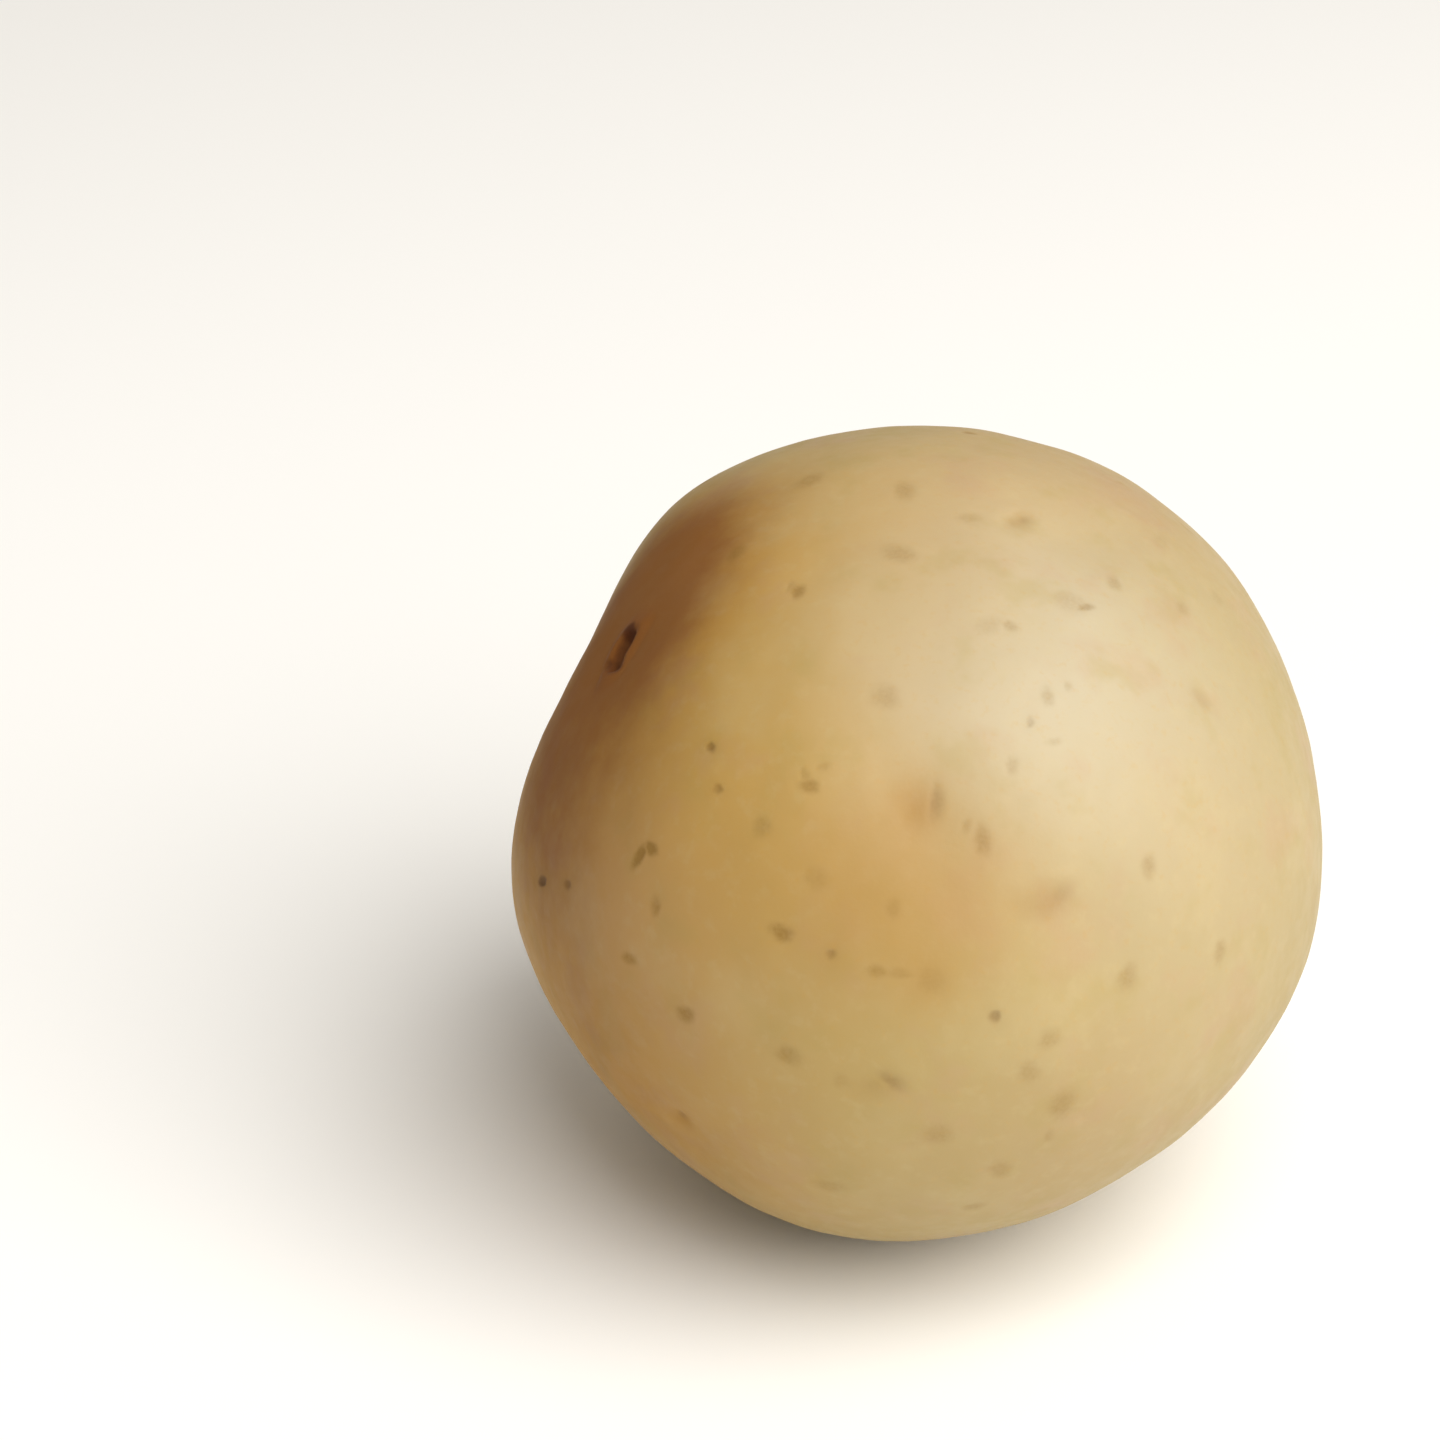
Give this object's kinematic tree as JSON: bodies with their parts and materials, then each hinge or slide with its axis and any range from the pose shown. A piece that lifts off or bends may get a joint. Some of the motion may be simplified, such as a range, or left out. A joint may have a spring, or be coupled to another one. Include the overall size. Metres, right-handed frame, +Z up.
{
  "type": "potato",
  "caption": "Whole washed table potato, a rounded oval tuber with smooth yellow-tan skin, corky specks and shallow eyes, lying on a small flat spot.",
  "frame": {"origin": "middle of the resting plane under the potato's bounding box, on the flat spot that it lies on", "axes": "+Z up, +Y along the length of the tuber from the bud end to the stem end, +X across it"},
  "size_m": [0.0736, 0.0824, 0.0684],
  "materials": {
    "potato_skin": "thin washed yellow-tan skin with a soft waxy sheen and brown corky specks"
  },
  "bodies": {
    "root": {"potato": "potato_skin"}
  },
  "joints": []
}
